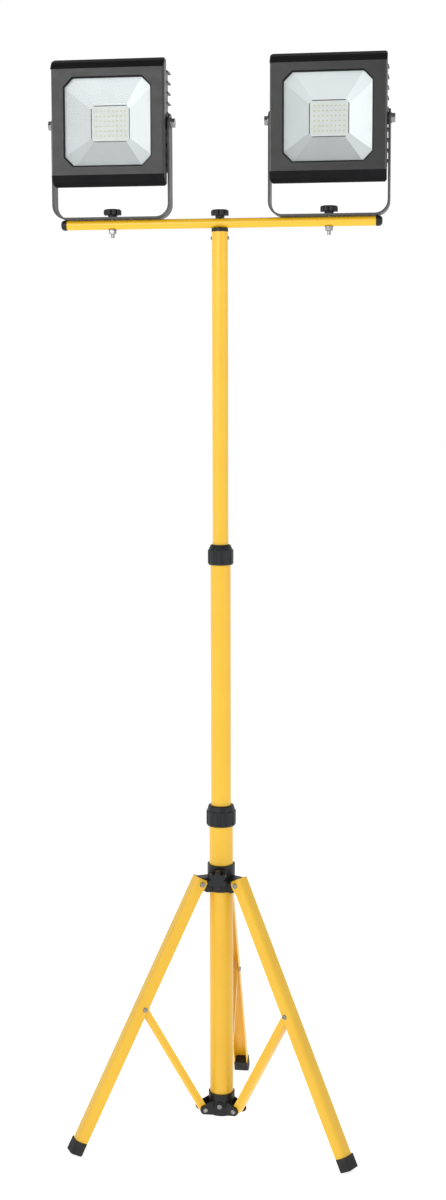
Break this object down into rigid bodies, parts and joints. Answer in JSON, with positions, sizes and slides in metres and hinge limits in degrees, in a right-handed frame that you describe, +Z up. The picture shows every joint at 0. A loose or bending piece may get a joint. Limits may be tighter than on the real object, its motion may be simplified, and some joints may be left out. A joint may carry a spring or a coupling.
{
  "type": "tripod work light",
  "caption": "Portable work light: square LED floodlights in U-brackets on a crossbar, on a telescopic mast with a folding tripod base.",
  "frame": {"origin": "centre of the bounding box in plan, at floor level", "axes": "+Z up along the mast; lamps face -Y; the crossbar runs along X; the rear leg points to +Y. The mast axis is at x = 0, y = -0.0602"},
  "size_m": [0.5326, 0.4002, 1.7],
  "materials": {
    "yellow_coat": "smooth yellow powder coat",
    "black_moulding": "satin moulded plastic",
    "collet_nylon": "plain nylon",
    "black_rubber": "matte",
    "zinc_steel": "zinc plated",
    "dark_casting": "textured dark grey powder coat",
    "dark_bracket": "satin dark grey",
    "black_cover": "matte",
    "clear_glass": "clear toughened",
    "silver_reflector": "bright metallised",
    "white_board": "white solder mask",
    "led_phosphor": "pale yellow phosphor"
  },
  "bodies": {
    "base": {"outer_tube": "yellow_coat", "lower_hub": "black_moulding", "lower_hub_screw": "zinc_steel", "strut_pivot_pins": "zinc_steel", "lower_collet": "collet_nylon"},
    "lower_collar": {"lower_twist_collar": "black_moulding"},
    "leg_hub": {"upper_hub": "black_moulding", "leg_pivot_rivets": "zinc_steel"},
    "hub_knob": {"hub_lock_knob": "black_moulding"},
    "middle_mast": {"mid_tube": "yellow_coat", "mid_guide_bush": "collet_nylon", "upper_collet": "collet_nylon"},
    "upper_collar": {"upper_twist_collar": "black_moulding"},
    "top_mast": {"top_tube": "yellow_coat", "top_guide_bush": "collet_nylon", "head_plug": "black_moulding", "head_plug_screws": "zinc_steel"},
    "crossbar": {"tbar": "yellow_coat", "tbar_end_caps": "black_moulding", "lamp_clamp_bolts": "zinc_steel"},
    "crossbar_knob": {"tbar_knob": "black_moulding"},
    "leg_left_body": {"leg_left": "yellow_coat", "foot_left": "black_rubber", "mid_leg_rivet_left": "zinc_steel"},
    "strut_left_body": {"strut_left": "yellow_coat"},
    "leg_right_body": {"leg_right": "yellow_coat", "foot_right": "black_rubber", "mid_leg_rivet_right": "zinc_steel"},
    "strut_right_body": {"strut_right": "yellow_coat"},
    "leg_rear_body": {"leg_rear": "yellow_coat", "foot_rear": "black_rubber", "mid_leg_rivet_rear": "zinc_steel"},
    "strut_rear_body": {"strut_rear": "yellow_coat"},
    "lamp_knob_left_body": {"lamp_knob_left": "black_moulding"},
    "bracket_left_body": {"bracket_left": "dark_bracket"},
    "lamp_left_body": {"front_frame_left": "dark_casting", "gasket_left": "black_rubber", "glass_left": "clear_glass", "reflector_left": "silver_reflector", "led_board_left": "white_board", "leds_left": "led_phosphor", "heatsink_left": "dark_casting", "driver_cover_left": "black_cover", "cable_gland_left": "black_cover", "tilt_bolts_left": "zinc_steel", "case_screws_left": "zinc_steel"},
    "lamp_knob_right_body": {"lamp_knob_right": "black_moulding"},
    "bracket_right_body": {"bracket_right": "dark_bracket"},
    "lamp_right_body": {"front_frame_right": "dark_casting", "gasket_right": "black_rubber", "glass_right": "clear_glass", "reflector_right": "silver_reflector", "led_board_right": "white_board", "leds_right": "led_phosphor", "heatsink_right": "dark_casting", "driver_cover_right": "black_cover", "cable_gland_right": "black_cover", "tilt_bolts_right": "zinc_steel", "case_screws_right": "zinc_steel"}
  },
  "joints": [
    {"name": "tripod_fold", "type": "slide", "parent": "base", "child": "leg_hub", "axis": [0, 0, 1], "range_m": [0, 0.04855]},
    {"name": "hub_knob_turn", "type": "hinge", "parent": "leg_hub", "child": "hub_knob", "pos_m": [0, -0.0902, 0.43], "axis": [0, -1, 0], "continuous": true},
    {"name": "leg_left_hinge", "type": "hinge", "parent": "leg_hub", "child": "leg_left_body", "pos_m": [-0.03204, -0.0787, 0.418], "axis": [0.5, -0.866, 0], "range_deg": [0, 23.82]},
    {"name": "strut_left_hinge", "type": "hinge", "parent": "base", "child": "strut_left_body", "pos_m": [-0.02944, -0.0772, 0.042], "axis": [-0.5, 0.866, 0], "range_deg": [0, 25.02]},
    {"name": "leg_right_hinge", "type": "hinge", "parent": "leg_hub", "child": "leg_right_body", "pos_m": [0.03204, -0.0787, 0.418], "axis": [0.5, 0.866, 0], "range_deg": [0, 23.82]},
    {"name": "strut_right_hinge", "type": "hinge", "parent": "base", "child": "strut_right_body", "pos_m": [0.02944, -0.0772, 0.042], "axis": [-0.5, -0.866, 0], "range_deg": [0, 25.02]},
    {"name": "leg_rear_hinge", "type": "hinge", "parent": "leg_hub", "child": "leg_rear_body", "pos_m": [0, -0.0232, 0.418], "axis": [-1, 0, 0], "range_deg": [0, 23.82]},
    {"name": "strut_rear_hinge", "type": "hinge", "parent": "base", "child": "strut_rear_body", "pos_m": [0, -0.0262, 0.042], "axis": [1, 0, 0], "range_deg": [0, 25.02]},
    {"name": "lower_collar_twist", "type": "hinge", "parent": "base", "child": "lower_collar", "pos_m": [0, -0.0602, 0.525], "axis": [0, 0, 1], "range_deg": [0, 120]},
    {"name": "middle_mast_slide", "type": "slide", "parent": "base", "child": "middle_mast", "axis": [0, 0, 1], "range_m": [-0.375, 0]},
    {"name": "upper_collar_twist", "type": "hinge", "parent": "middle_mast", "child": "upper_collar", "pos_m": [0, -0.0602, 0.945], "axis": [0, 0, 1], "range_deg": [0, 120]},
    {"name": "top_mast_slide", "type": "slide", "parent": "middle_mast", "child": "top_mast", "axis": [0, 0, 1], "range_m": [-0.4, 0]},
    {"name": "crossbar_swivel", "type": "hinge", "parent": "top_mast", "child": "crossbar", "pos_m": [0, -0.0602, 1.454], "axis": [0, 0, 1], "range_deg": [-170, 170]},
    {"name": "crossbar_knob_turn", "type": "hinge", "parent": "crossbar", "child": "crossbar_knob", "pos_m": [0, -0.0602, 1.468], "axis": [0, 0, 1], "continuous": true},
    {"name": "lamp_left_swivel", "type": "hinge", "parent": "crossbar", "child": "bracket_left_body", "pos_m": [-0.1675, -0.0602, 1.464], "axis": [0, 0, 1], "range_deg": [-90, 90]},
    {"name": "lamp_left_tilt", "type": "hinge", "parent": "bracket_left_body", "child": "lamp_left_body", "pos_m": [-0.1675, -0.0602, 1.605], "axis": [1, 0, 0], "range_deg": [-90, 90]},
    {"name": "lamp_left_knob_turn", "type": "hinge", "parent": "crossbar", "child": "lamp_knob_left_body", "pos_m": [-0.1675, -0.0602, 1.47], "axis": [0, 0, 1], "continuous": true},
    {"name": "lamp_right_swivel", "type": "hinge", "parent": "crossbar", "child": "bracket_right_body", "pos_m": [0.1675, -0.0602, 1.464], "axis": [0, 0, 1], "range_deg": [-90, 90]},
    {"name": "lamp_right_tilt", "type": "hinge", "parent": "bracket_right_body", "child": "lamp_right_body", "pos_m": [0.1675, -0.0602, 1.605], "axis": [1, 0, 0], "range_deg": [-90, 90]},
    {"name": "lamp_right_knob_turn", "type": "hinge", "parent": "crossbar", "child": "lamp_knob_right_body", "pos_m": [0.1675, -0.0602, 1.47], "axis": [0, 0, 1], "continuous": true}
  ],
  "couplings": [
    {"joint": "leg_left_hinge", "follows": "tripod_fold", "rad_per_m": 8.5559},
    {"joint": "strut_left_hinge", "follows": "tripod_fold", "rad_per_m": 8.9861},
    {"joint": "leg_right_hinge", "follows": "tripod_fold", "rad_per_m": 8.5559},
    {"joint": "strut_right_hinge", "follows": "tripod_fold", "rad_per_m": 8.9861},
    {"joint": "leg_rear_hinge", "follows": "tripod_fold", "rad_per_m": 8.5559},
    {"joint": "strut_rear_hinge", "follows": "tripod_fold", "rad_per_m": 8.9861}
  ]
}
